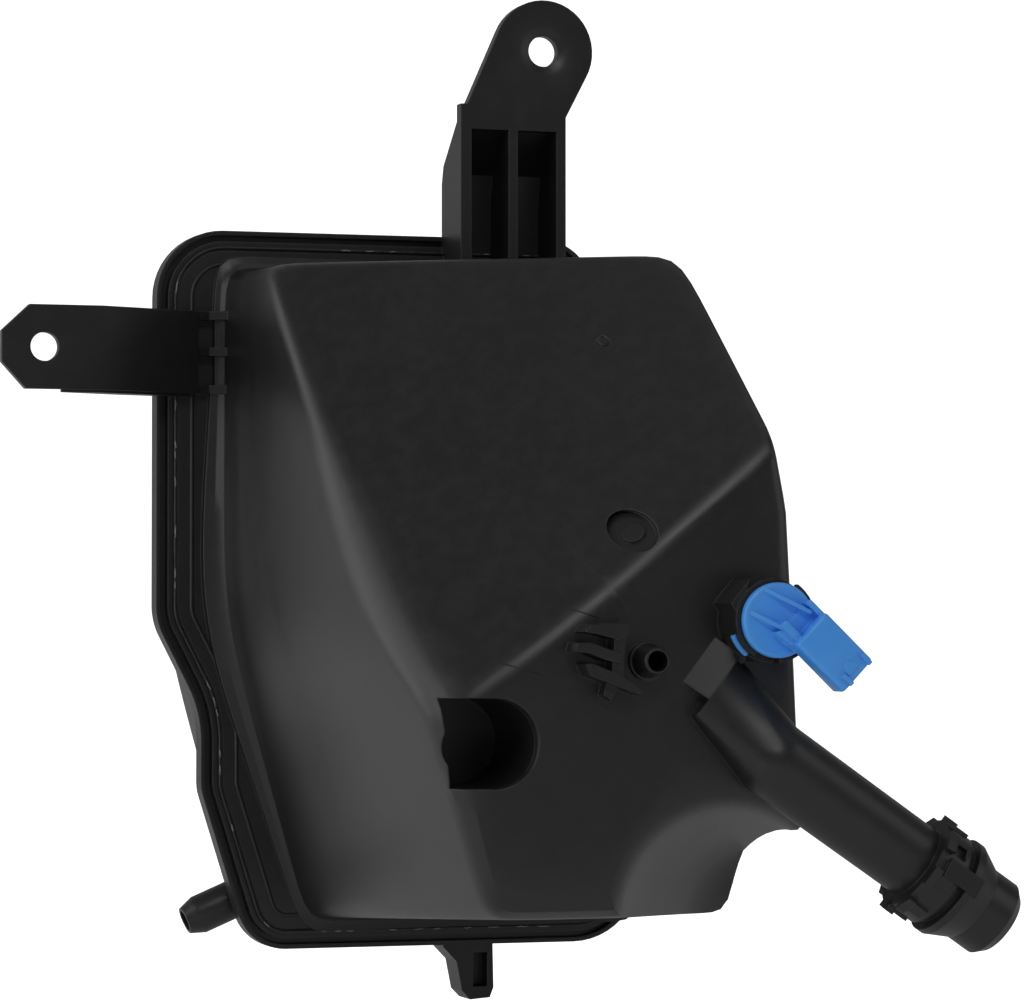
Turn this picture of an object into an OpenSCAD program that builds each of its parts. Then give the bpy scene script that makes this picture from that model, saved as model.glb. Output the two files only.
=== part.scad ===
// Coolant expansion tank: two moulded shells welded at a flange, a side-entry level sensor and a pressure cap.
// X runs to the right, Y away from the viewer, Z up. The origin is the centre of the upper fixing hole.

/* [Shells] */
// depth of the flat front face ahead of the weld plane
front_depth = 205; // [180:1:230]
// depth of the rear dome behind the weld plane
rear_depth = 78; // [70:1:95]
// moulded wall thickness
wall = 3; // [2.5:0.1:4]
// distance of the weld plane behind the fixing plane
weld_y = 24; // [20:1:28]
// draft of the long front walls in degrees
draft = 3; // [1:0.5:5]

/* [Brackets] */
// radius of the upper fixing hole
upper_hole_r = 5.5; // [4:0.25:6.5]
// radius of the left fixing hole
left_hole_r = 5; // [3.5:0.25:6]
// half width of the left strap
strap_half = 14.6; // [13:0.2:16]

/* [Outlet] */
// outer radius of the outlet pipe
pipe_r = 12.4; // [11.5:0.1:13]
// bore radius of the outlet pipe
pipe_bore_r = 9.6; // [8.5:0.1:10]
// outer radius of the spigot past the coupling rings
spigot_r = 13.3; // [12.8:0.1:13.6]

/* [Sensor] */
// radius of the sensor's round head
head_r = 11.9; // [11:0.1:12.5]
// radius of the bore in the sensor collar
sensor_bore_r = 9; // [8.5:0.1:9.5]
// swing of the float from low to full, in degrees
float_swing = 30; // [20:1:35]

/* [Filler] */
// radius of the filler neck's bore
neck_bore_r = 19; // [17:0.5:20]
// lead of the cap thread in one turn
thread_lead = 8; // [6:0.5:9]

/* [Hidden] */
$fn = 64;

function smax(a, b, k) = let (h = max(k - abs(a - b), 0) / k) max(a, b) + h * h * k / 4;
function smin(a, b, k) = -smax(-a, -b, k);
function clamp(v, a, b) = min(max(v, a), b);

// ---- weld flange outline: corner x, corner z, corner radius
flange_corners = [[-136.7, -65.8, 24], [-136.7, -205, 24], [-120.3, -237, 44], [-120.3, -264.5, 18],
  [-102.5, -321.5, 18], [45, -321.5, 26], [45, -185, 70], [23.5, -65.8, 19]];

// corner i moved inward by d, as the crossing of its two moved edges
function moved(c, i, d) = let (
    n = len(c), p = c[(i + n - 1) % n], q = c[i], s = c[(i + 1) % n],
    u = [q[0] - p[0], q[1] - p[1]] / norm([q[0] - p[0], q[1] - p[1]]),
    v = [s[0] - q[0], s[1] - q[1]] / norm([s[0] - q[0], s[1] - q[1]]),
    nu = [-u[1], u[0]], nv = [-v[1], v[0]], k = 1 + nu * nv)
  [q[0] + d * (nu[0] + nv[0]) / k, q[1] + d * (nu[1] + nv[1]) / k];
function turnOf(c, i) = let (n = len(c), p = c[(i + n - 1) % n], q = c[i], s = c[(i + 1) % n])
  (q[0] - p[0]) * (s[1] - q[1]) - (q[1] - p[1]) * (s[0] - q[0]);
// rounded outline moved inward by d, with m chords in each corner
function outline(c, d, m) = [for (i = [0 : len(c) - 1]) let (
    n = len(c), q = moved(c, i, d), p = moved(c, (i + n - 1) % n, d), s = moved(c, (i + 1) % n, d),
    r = max(c[i][2] - (turnOf(c, i) > 0 ? d : -d), 1),
    u = (p - q) / norm(p - q), v = (s - q) / norm(s - q), half = acos(clamp(u * v, -1, 1)) / 2,
    w = (u + v) / norm(u + v), mid = q + w * r / sin(half),
    a = q + u * r / tan(half), b = q + v * r / tan(half),
    a0 = atan2(a[1] - mid[1], a[0] - mid[0]), a1 = atan2(b[1] - mid[1], b[0] - mid[0]),
    sweep = a1 - a0 > 180 ? a1 - a0 - 360 : a1 - a0 < -180 ? a1 - a0 + 360 : a1 - a0)
  for (j = [0 : m]) mid + r * [cos(a0 + sweep * j / m), sin(a0 + sweep * j / m)]];

// a slab whose outline lies in the XZ plane, from y0 to y1
module slab(pts, y0, y1) translate([0, y1, 0]) rotate([90, 0, 0]) linear_extrude(height = y1 - y0) polygon(pts);
// a cylinder along Y from y0 to y1
module rodY(x, z, r, y0, y1) translate([x, y1, z]) rotate([90, 0, 0]) cylinder(r = r, h = y1 - y0);
// a cylinder along Z from z0 to z1
module rodZ(x, y, r, z0, z1) translate([x, y, z0]) cylinder(r = r, h = z1 - z0);

// ---- front body: depth h is measured from the weld plane towards the viewer
mid_x = -37;
mid_z = flange_corners[0][1] - 127.2;
slope_x = 0.74;
slope_z = 0.88;
td = tan(draft);
face_y = weld_y - front_depth;
// upper sloping face and flat front face, as depths over (x, z); a soft crease joins them
function faceUpper(x, z) = front_depth + slope_x * (x - mid_x) - slope_z * (z - mid_z);
function faceFront(x, z) = front_depth - 0.0012 * pow(min(x + 20, 0), 2);
function front(x, z, t) = smin(faceUpper(x, z) - 0.5 * t, faceFront(x, z), 6) - t;
// side walls: outward normal in x and z, distance from the middle, and slope with depth; each row is one side
walls = [[[-1, 0, 76, td]], [[-0.9629, -0.2696, 75.6, td]], [[0, 1, 112.6, 0.014]], [[0, -1, 118, 0.065]],
  [[0.9806, 0.1961, 74.4, td], [0.9985, 0.0549, 72, td]]];
// concave foot of the wall: its size and the height where it starts, larger on the left
function footSize(a) = 4.5 + 4.5 * pow(max(-cos(a), 0), 1.5);
function footStart(a) = 5.6 + 2.9 * pow(max(-cos(a), 0), 1.5);
function foot(a, h) = let (s = footSize(a), g = h - footStart(a)) g >= s ? 0 : g <= 0 ? s : s - sqrt(s * s - (s - g) * (s - g));
// distance from the middle line to the wall at angle a and depth h
function reach(a, h, t) = let (e = [cos(a), sin(a)])
  pow([for (side = walls) pow(min([for (w = side) (w[2] - t - w[3] * h) / max(w[0] * e[0] + w[1] * e[1], 0.02)]), -26)]
    * [1, 1, 1, 1, 1], -1 / 26) + (t > 0 ? 0 : foot(a, h));
// depth at which wall and front meet at angle a
function meet(a, t, lo, hi, n) = let (m = (lo + hi) / 2, r = reach(a, m, t))
  n == 0 ? m : front(mid_x + r * cos(a), mid_z + r * sin(a), t) > m ? meet(a, t, m, hi, n - 1) : meet(a, t, lo, m, n - 1);
// edge rounding at angle a
function edgeSize(a) = let (s = sin(a), c = cos(a)) 3.5 + 7 * pow(max(-s, 0), 2) + 13 * pow(max(-c, 0), 3) + 1.5 * pow(max(c, 0), 2);
function station(a, t, m) = let (
    top = meet(a, t, 5, 260, 16), k = max(edgeSize(a) - t, 2), re = reach(a, top, t),
    p0 = [reach(a, top - k, t), top - k], p2r = re - k,
    p2 = [p2r, front(mid_x + p2r * cos(a), mid_z + p2r * sin(a), t)], p1 = [re, top],
    s0 = footStart(a), s1 = footSize(a), low = t > 0 ? -1 : s0 + s1)
  concat(
    t > 0 ? [[reach(a, 0, t), -1]] : [for (h = [0, s0, s0 + 0.1 * s1, s0 + 0.35 * s1, s0 + s1]) [reach(a, h, t), h]],
    [for (j = [1 : 2]) let (h = low + (top - k - low) * j / 3) [reach(a, h, t), h]],
    [for (j = [0 : 4]) let (s = j / 4) (1 - s) * (1 - s) * p0 + 2 * s * (1 - s) * p1 + s * s * p2],
    [for (j = [1 : m]) let (r = p2r * (1 - j / (m + 0.6))) [r, front(mid_x + r * cos(a), mid_z + r * sin(a), t)]]);

// closed solid from rings of stations round an axis along Y; sgn is -1 for a body standing towards the viewer
module ringSolid(pts, na, cx, cz, mouth, pole) {
  n = len(pts) / na;
  base = len(pts);
  polyhedron(points = concat(pts, [[cx, mouth, cz], [cx, pole, cz]]),
    faces = concat(
      [for (i = [0 : na - 1], j = [0 : n - 2]) let (k = (i + 1) % na) [i * n + j, i * n + j + 1, k * n + j + 1]],
      [for (i = [0 : na - 1], j = [0 : n - 2]) let (k = (i + 1) % na) [i * n + j, k * n + j + 1, k * n + j]],
      [for (i = [0 : na - 1]) [base, i * n, ((i + 1) % na) * n]],
      [for (i = [0 : na - 1]) [base + 1, ((i + 1) % na) * n + n - 1, i * n + n - 1]]));
}
// directions of the stations, as [from, to, steps]: closer together at the corners and beside the crease
fine_spans = [[40, 44, 3], [44, 60, 3], [60, 76, 10], [76, 116, 7], [116, 134, 11], [134, 216, 15], [216, 224, 6],
  [224, 236, 3], [236, 254, 11], [254, 292, 6], [292, 312, 12], [312, 396, 17], [396, 400, 3]];
plain_spans = [[40, 60, 3], [60, 76, 5], [76, 116, 4], [116, 134, 5], [134, 220, 9], [220, 236, 2], [236, 254, 5],
  [254, 292, 4], [292, 312, 6], [312, 400, 10]];
function turns(spans) = [for (q = spans, i = [0 : q[2] - 1]) q[0] + (q[1] - q[0]) * i / q[2]];
module frontSolid(spans, m, t) let (list = turns(spans)) ringSolid(
  [for (a = list, p = station(a, t, m)) [mid_x + p[0] * cos(a), weld_y - p[1], mid_z + p[0] * sin(a)]],
  len(list), mid_x, mid_z, weld_y + (t > 0 ? 1 : 0), weld_y - front(mid_x, mid_z, t));

// scoop at the lower right, as rings of depth, middle x, middle z and radius; g is what it grows by inside the wall
scoop_rings = [[117, 41, -311.5, 7], [121, 40.5, -311, 12], [127, 39.5, -309.5, 18.5], [133, 38, -308.3, 23], [139, 36, -307, 26],
  [160, 24.8, -305, 30.6], [180, 14.5, -303, 34.6], [190, 9.5, -302.2, 36.4], [196, 6.8, -301.6, 37.6], [200, 5.2, -301.2, 38.8],
  [203, 4, -301, 40.6], [204.6, 3.4, -301, 42.6], [205.3, 3, -301, 44.6], [front_depth + 12, 3, -301, 45]];
module scoop(g) let (list = scoop_rings) ringSolid(
  [for (i = [0 : 47], q = list) let (a = i * 7.5, r = q[3] + g * 1.2, d = front_depth - 205 + q[0] - (q[0] < 130 ? g : 0))
    [q[1] + r * cos(a), weld_y - d, q[2] + r * sin(a)]],
  48, 38, -309, weld_y - (front_depth - 89 - g), weld_y - front_depth - 13);

// ---- shared drawing helpers
// a plan in the XZ plane, extruded along Y from y0 to y1
module alongY(y0, y1) translate([0, y1, 0]) rotate([90, 0, 0]) linear_extrude(height = y1 - y0) children();
// a plan in the YZ plane, extruded along X from x0 to x1
module alongX(pts, x0, x1) translate([x0, 0, 0]) rotate([90, 0, 90]) linear_extrude(height = x1 - x0) polygon(pts);
// a plan in the XY plane, extruded along Z from z0 to z1
module alongZ(pts, z0, z1) translate([0, 0, z0]) linear_extrude(height = z1 - z0) polygon(pts);
// local z runs towards the viewer from depth y at (x, z)
module facing(x, y, z) translate([x, y, z]) rotate([90, 0, 0]) children();
module tube(r0, r1, z0, z1) difference() {
  translate([0, 0, z0]) cylinder(r = r1, h = z1 - z0);
  translate([0, 0, z0 - 1]) cylinder(r = r0, h = z1 - z0 + 2);
}
// ring sector with its section from [r0, z0] to [r1, z1], over angles a0 to a1
module sector(r0, r1, z0, z1, a0, a1) rotate([0, 0, a0]) rotate_extrude(angle = a1 - a0)
  translate([r0, z0]) square([r1 - r0, z1 - z0]);

// ---- upper bracket
eye_r = 18.3;
lean = [0.404, 0.914];
module upperBracket() {
  alongY(-2.5, 2.5) {
    circle(r = eye_r);
    polygon([[-eye_r * lean[1], eye_r * lean[0]], [-31.3, -25.6], [-31.3, -29], [8.2, -29], [8.2, -23.8],
      [eye_r * 0.894, -eye_r * 0.447]]);
  }
  alongX([[-2.5, -24.5], [-2.5, -20], [2.5, -20], [2.5, -26], [19, -40.5], [22.5, -52], [23.5, -82], [19.5, -82], [18.6, -53], [16, -43.5]], -31.3, 8.2);
  for (x = [[-31.3, -27.3], [-13.4, -9.9], [4.7, 8.2]])
    alongX([[-2.5, -22], [2.5, -22], [2.5, -26], [19, -40.5], [22.5, -52], [23.5, -82], [-2.5, -82]], x[0], x[1]);
}

// ---- left strap: a flat end that bends back to the flange
strap_z = -109.8;
strap_end = -196.7;
left_hole_x = -181.7;
module leftStrap() {
  intersection() {
    alongZ([[strap_end, -2.5], [-161.3, -2.5], [-123.4, 13.6], [-123.4, 20.6], [-127, 20.6], [-127, 16.1], [-162, 1.3], [strap_end, 1.3]],
      strap_z - strap_half, strap_z + strap_half);
    alongY(-6, 24) polygon([[strap_end, strap_z - 5.4], [strap_end, strap_z + 5.4], [strap_end + 9.8, strap_z + strap_half],
      [-110, strap_z + strap_half], [-110, strap_z - strap_half], [strap_end + 8.4, strap_z - strap_half]]);
  }
  // stiffening ribs behind the strap
  for (z = [[-125.3, -122.3], [-111.2, -108.6], [-97.8, -95.3]])
    alongZ([[-175, 0.8], [-161.6, 0.8], [-126, 15.6], [-126, 20.6], [-132.6, 20.6], [-152, 14.4], [-175, 3.4]], z[0], z[1]);
  // short ribs that tie the strap's end to the wall
  for (z = [-122.8, -109.4, -96.6])
    alongZ([[-124.5, 13.8], [-119, 15.2], [-112, 12.5], [-108.5, 20.6], [-124.5, 20.6]], z - 1.5, z + 1.5);
}
module strapPits() for (z = [[-121.3, -110.9], [-107.9, -98.1]])
  translate([-123.4, 8, z[0]]) cube([6.6, 11.6, z[1] - z[0]]);

// ---- pocket beside the left wall
pocket_z = -242.6;
pocket_r = 14.2;
module pocketPlan(d) {
  translate([-75.4, pocket_z]) circle(r = pocket_r + d);
  polygon([[-75.4, pocket_z - pocket_r - d], [-75.4, pocket_z + pocket_r + d], [-90.7 - 1.1 * d, pocket_z + pocket_r + d],
    [-86.7 - 1.1 * d, pocket_z - pocket_r - d]]);
}
module pocketHole() {
  alongY(face_y - 30, face_y + 45) pocketPlan(0);
  // rounded lip of the pocket's right side
  facing(-75.4, face_y, pocket_z) rotate([0, 0, -92]) rotate_extrude(angle = 184)
    difference() {
      translate([pocket_r - 1, -4.5]) square([5.4, 8]);
      translate([pocket_r + 4.6, -4.5]) circle(r = 4.5);
    }
}
module pocketBlock() alongY(face_y - 10, face_y + 48) pocketPlan(2.6);

// ---- outlet pipe: a short leg that leans out of the front face, then the long leg along the face
pipe_y = face_y - 3;
pipe_b = [16.7, -248.6];
pipe_dir = [0.824, -0.566];
pipe_end = 94;
// local z runs along the pipe's long leg from the bend
module alongPipe() translate([pipe_b[0], pipe_y, pipe_b[1]])
  rotate([0, atan2(pipe_dir[0], pipe_dir[1]), 0]) children();
module outletPipe() {
  translate([pipe_b[0], pipe_y, pipe_b[1]]) sphere(r = pipe_r + 0.25);
  // the start rises out of the face from one straight edge
  hull() {
    atStart() translate([-1, 0, 0]) rotate([90, 0, 90]) linear_extrude(height = 1)
      polygon([[0, -8], [0, 0.6], [1.6, 2.4], [22, 2.4], [23.8, 0.6], [23.8, -8]]);
    alongPipe() translate([0, 0, -1]) cylinder(r = pipe_r, h = 1);
  }
  atStart() translate([0, 17, 0]) rotate([90, 0, 0]) linear_extrude(height = 18)
    polygon([[-2, -6], [8.8, -6], [8.8, -3], [-0.2, 2.4], [-2, 2.4]]);
  alongPipe() {
    cylinder(r1 = pipe_r + 0.2, r2 = pipe_r - 0.1, h = 60);
    translate([0, 0, 50]) cylinder(r = pipe_r - 0.1, h = 30);
    // coupling rings: a slotted ring, a gap and a flared ring
    translate([0, 0, 58.5]) cylinder(r = 16.2, h = 10.3);
    translate([0, 0, 68]) cylinder(r = 14.2, h = 5);
    translate([0, 0, 71.5]) cylinder(r = 17.2, h = 2.6);
    translate([0, 0, 74]) cylinder(r1 = 17.2, r2 = spigot_r, h = 8);
    translate([0, 0, 72]) cylinder(r = spigot_r, h = pipe_end - 75);
    translate([0, 0, pipe_end - 3]) cylinder(r1 = spigot_r, r2 = spigot_r - 2.6, h = 3);
    for (a = [0 : 45 : 315]) rotate([0, 0, a + 12]) {
      translate([14.5, -3.4, 58.5]) cube([3.4, 6.8, 3]);
      translate([14.5, -2.2, 61]) cube([2.6, 4.4, 6]);
    }
    // long key that crosses both rings
    rotate([0, 0, -96]) translate([13, -3.2, 62]) cube([4.6, 6.4, 13.5]);
  }
}
// local x runs up and to the left across the start edge, y down along it and z towards the viewer
module atStart() facing(4, pipe_y, -215.6) rotate([0, 0, 141.75]) children();

// ---- sensor collar and its axis
sensor_x = 12;
sensor_z = -204;
lug_a = 214;
module sensorCollar() facing(sensor_x, face_y, sensor_z) {
  translate([0, 0, -6]) cylinder(r = 13.5, h = 22);
  translate([0, 0, -6]) linear_extrude(height = 21) polygon([[-8.4, 12.9], [-14.8, 5.4], [-11.6, 0]]);
}
module sensorBore() facing(sensor_x, face_y, sensor_z) {
  translate([0, 0, -14]) cylinder(r = sensor_bore_r, h = 40);
  for (a = [lug_a, lug_a - 180]) {
    sector(sensor_bore_r - 1, 17, 10.6, 13.4, a - 17, a + 61);
    sector(sensor_bore_r - 1, 14.9, 10.6, 17, a + 23, a + 61);
  }
}

// ---- vent nipple and line clip on the front face
nipple_x = -25.4;
nipple_z = -216.8;
module ventNipple() facing(nipple_x, face_y, nipple_z) {
  translate([0, 0, -2]) cylinder(r1 = 6.4, r2 = 6.2, h = 3.4);
  translate([0, 0, 1]) cylinder(r1 = 5.6, r2 = 4.3, h = 6.6);
  translate([0, 0, 7.5]) cylinder(r = 4.3, h = 2.2);
  translate([0, 0, 9.7]) cylinder(r1 = 4.3, r2 = 3.9, h = 0.6);
}
// clip for the vent line: a comb of three bars on one spine
module lineClip() {
  alongY(face_y - 8, face_y + 2) {
    polygon([[-49.1, -207.6], [-46.8, -205.6], [-34.2, -205], [-34.5, -208.9], [-38.2, -210], [-44.4, -208.3]]);
    polygon([[-52, -213.8], [-51.2, -211], [-46.8, -211], [-39.4, -213.5], [-36.6, -214.4], [-37, -217.6], [-42.4, -216.2], [-47.6, -214.2]]);
    polygon([[-48.5, -217.7], [-46.2, -217.6], [-37.6, -220.8], [-30, -225.6], [-30.1, -227.5], [-36.4, -225.3], [-40, -223.9], [-47, -221.3]]);
  }
  alongY(face_y - 6.6, face_y + 2) polygon([[-38.4, -208], [-34.7, -208], [-35.6, -224.6], [-39.6, -223.2]]);
  alongY(face_y - 5, face_y + 2) polygon([[-40.5, -223], [-41.5, -227.4], [-38.9, -229.1], [-36.5, -224.6]]);
}

// ---- gate recess with a raised disc, and the small ring mark, both on the sloping face
module ontoSlope(x, z, d) {
  // local z is the sloping face's outward normal, at depth d below the face
  n = [-slope_x, -1, slope_z] / norm([slope_x, 1, slope_z]);
  y = weld_y - faceUpper(x, z);
  translate([x, y, z] - d * n) rotate([0, acos(n[2]), atan2(n[1], n[0])]) children();
}
module gateRecess() {
  intersection() {
    facing(-27.2, face_y + 60, -175.6) cylinder(r = 6.8, h = 90);
    ontoSlope(-27.2, -175.6, 1.9) difference() {
      translate([-15, -15, 0]) cube([30, 30, 12]);
      translate([0, 0, -1]) cylinder(r = 3.7, h = 1.9);
    }
  }
  facing(-19.8, face_y + 60, -112.2) intersection() {
    tube(1.3, 2, 0, 90);
    rotate([-90, 0, 0]) translate([19.8, -face_y - 60, 112.2]) ontoSlope(-19.8, -112.2, 0.4) translate([-5, -5, 0]) cube([10, 10, 5]);
  }
}

module front_shell() color([0.09, 0.09, 0.1]) difference() {
  union() {
    difference() {
      frontSolid(fine_spans, 11, 0);
      scoop(0);
    }
    slab(outline(flange_corners, 3.9, 12), weld_y - 4, weld_y);
    slab(outline(flange_corners, 7.3, 12), weld_y - 5.5, weld_y - 3);
    upperBracket();
    leftStrap();
    outletPipe();
    sensorCollar();
    ventNipple();
    lineClip();
  }
  difference() {
    frontSolid(plain_spans, 7, wall);
    pocketBlock();
    scoop(wall);
  }
  pocketHole();
  strapPits();
  // clear of the rear shell's rim
  difference() {
    alongY(weld_y - 3.05, weld_y + 1) translate([-160, -340]) square([240, 300]);
    slab(outline(flange_corners, 1.9, 12), weld_y - 4, weld_y + 2);
  }
  sensorBore();
  gateRecess();
  // fixing holes
  facing(0, 0, 0) {
    translate([0, 0, -4]) cylinder(r = upper_hole_r, h = 8);
    translate([0, 0, 1.3]) cylinder(r1 = upper_hole_r, r2 = upper_hole_r + 6, h = 1.8);
  }
  facing(left_hole_x, 0, strap_z) translate([0, 0, -4]) cylinder(r = left_hole_r, h = 8);
  // outlet and vent bores
  alongY(pipe_y, face_y + 6) translate(pipe_b) circle(r = pipe_bore_r - 0.6);
  translate([pipe_b[0], pipe_y, pipe_b[1]]) sphere(r = pipe_bore_r + 0.25);
  alongPipe() {
    cylinder(r = pipe_bore_r, h = pipe_end + 1);
    translate([0, 0, pipe_end - 1.5]) cylinder(r1 = pipe_bore_r, r2 = pipe_bore_r + 1.4, h = 2);
    for (a = [45, 225]) rotate([0, 0, a + 12]) translate([14.6, -2.4, 62.6]) cube([4, 4.8, 3.6]);
  }
  facing(nipple_x, face_y, nipple_z) translate([0, 0, -6]) cylinder(r = 3.3, h = 20);
}

// ---- rear shell
rear_x = -45;
rear_z = -215;
rear_walls = [[-1, 0, 82], [-0.963, -0.27, 74.9], [0, 1, 103], [0, -1, 97], [1, 0, 81], [0.98, 0.2, 84]];
function rearReach(a, h, t) = let (e = [cos(a), sin(a)])
  pow([for (w = rear_walls) let (k = w[0] * e[0] + w[1] * e[1]) k > 0.02 ? pow((w[2] - t - 0.0875 * h) / k, -20) : 0]
    * [1, 1, 1, 1, 1, 1], -1 / 20);
function rearFace(x, z) = rear_depth - 0.0007 * (pow(x - rear_x, 2) + pow(z - rear_z, 2));
function rearMeet(a, t, lo, hi, n) = let (m = (lo + hi) / 2, r = rearReach(a, m, t))
  n == 0 ? m : rearFace(rear_x + r * cos(a), rear_z + r * sin(a)) - t > m ? rearMeet(a, t, m, hi, n - 1) : rearMeet(a, t, lo, m, n - 1);
function rearStation(a, t) = let (
    top = rearMeet(a, t, 5, 120, 14), k = 14 - t, re = rearReach(a, top, t), p0 = [rearReach(a, top - k, t), top - k],
    p2r = re - k, p2 = [p2r, rearFace(rear_x + p2r * cos(a), rear_z + p2r * sin(a)) - t], p1 = [re, top])
  concat([[rearReach(a, 0, t), t > 0 ? -1 : 0]],
    [for (j = [0 : 4]) let (s = j / 4) (1 - s) * (1 - s) * p0 + 2 * s * (1 - s) * p1 + s * s * p2],
    [for (j = [1 : 3]) let (r = p2r * (1 - j / 3.8)) [r, rearFace(rear_x + r * cos(a), rear_z + r * sin(a)) - t]]);
// the rings run the other way round because this body stands away from the viewer
module rearSolid(na, t) ringSolid(
  [for (i = [0 : na - 1]) let (a = -i * 360 / na) for (p = rearStation(a, t)) [rear_x + p[0] * cos(a), weld_y + p[1], rear_z + p[0] * sin(a)]],
  na, rear_x, rear_z, weld_y - (t > 0 ? 1 : 0), weld_y + rear_depth - t);

neck_x = -55;
neck_y = 63;
neck_top = -88;
// helical ridge, its section a trapezoid from radius ra to radius rb
module ridge(ra, rb, width, turns, z0, a0, na) {
  steps = ceil(turns * na);
  pts = [for (i = [0 : steps]) let (a = a0 + i * 360 / na, z = z0 + thread_lead * i / na,
      g = clamp(min(i, steps - i) / 4, 0.15, 1), r = ra + (rb - ra) * g, w = width / 2)
    for (q = [[ra, z - w], [r, z - w * 0.45], [r, z + w * 0.45], [ra, z + w]]) [q[0] * cos(a), q[0] * sin(a), q[1]]];
  n = steps + 1;
  flip = rb < ra;
  quads = [for (i = [0 : steps - 1], j = [0 : 3]) let (k = (j + 1) % 4)
    flip ? [4 * i + j, 4 * i + 4 + j, 4 * i + 4 + k] : [4 * i + j, 4 * i + 4 + k, 4 * i + 4 + j]];
  quads2 = [for (i = [0 : steps - 1], j = [0 : 3]) let (k = (j + 1) % 4)
    flip ? [4 * i + j, 4 * i + 4 + k, 4 * i + k] : [4 * i + j, 4 * i + k, 4 * i + 4 + k]];
  e = 4 * steps;
  caps = flip ? [[0, 1, 2], [0, 2, 3], [e + 2, e + 1, e], [e + 3, e + 2, e]] : [[2, 1, 0], [3, 2, 0], [e, e + 1, e + 2], [e, e + 2, e + 3]];
  polyhedron(points = pts, faces = concat(quads, quads2, caps));
}

nipple_root = [-99, -302.6];
nipple_dir = [-0.921, -0.389];
module alongNipple() translate([nipple_root[0], 40, nipple_root[1]])
  rotate([0, atan2(nipple_dir[0], nipple_dir[1]), 0]) children();

module rear_shell() color([0.08, 0.08, 0.09]) difference() {
  union() {
    rearSolid(56, 0);
    slab(outline(flange_corners, 0, 12), weld_y, weld_y + 4.5);
    difference() {
      slab(outline(flange_corners, 0, 12), weld_y - 3, weld_y + 1);
      slab(outline(flange_corners, 1.7, 12), weld_y - 4, weld_y);
    }
    // filler neck with its stop collar and thread
    translate([neck_x, neck_y, neck_top]) {
      translate([0, 0, -38]) cylinder(r = 22.4, h = 38);
      translate([0, 0, -24.5]) cylinder(r = 27, h = 2.6);
      ridge(22.2, 24.5, 3, 1.25, -14.5, 20, 40);
    }
    // lower hose nipple
    alongNipple() {
      translate([0, 0, -10]) cylinder(r1 = 9.5, r2 = 6.9, h = 16);
      translate([0, 0, 6]) cylinder(r = 6.9, h = 13);
      translate([0, 0, 19]) cylinder(r1 = 6.9, r2 = 4.9, h = 5.4);
    }
    // locating peg under the tank
    slab([[-29, -309.5], [-28, -323], [-23, -328.3], [-20.9, -339], [-17.8, -342.2], [-10.4, -341.6], [-9, -338], [-9.6, -309.5]], 29, 43);
    // stiffening ribs between the dome and the flange
    for (x = [-108, -14, 8]) alongX([[27, -84], [31, -84], [62, -117], [27, -130]], x, x + 2.6);
  }
  difference() {
    rearSolid(44, wall);
    // slosh baffles left standing in the dome
    translate([-46, 24, -290]) cube([2.4, 90, 120]);
    translate([-100, 24, -214]) cube([130, 90, 2.4]);
  }
  // windows through the baffles
  for (z = [-282, -246, -202]) translate([-60, 40, z]) cube([30, 34, 18]);
  for (x = [-84, -20, 4]) translate([x, 40, -220]) cube([18, 34, 14]);
  translate([neck_x, neck_y, neck_top - 44]) cylinder(r = neck_bore_r, h = 60);
  alongNipple() translate([0, 0, -16]) cylinder(r = 3.9, h = 60);
  translate([-16.8, 28, -337.4]) cube([5.4, 7, 12.2]);
}

// ---- level sensor, in its own frame: z runs out of the tank, 0 at the front face
con_a = -43.6;
pivot = -52;
module inSensor() facing(sensor_x, face_y, sensor_z) children();
// along the connector: local x runs from the head towards the socket
module inConnector() translate([10, -3.2, 16.6]) rotate([0, 0, con_a]) children();

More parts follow.
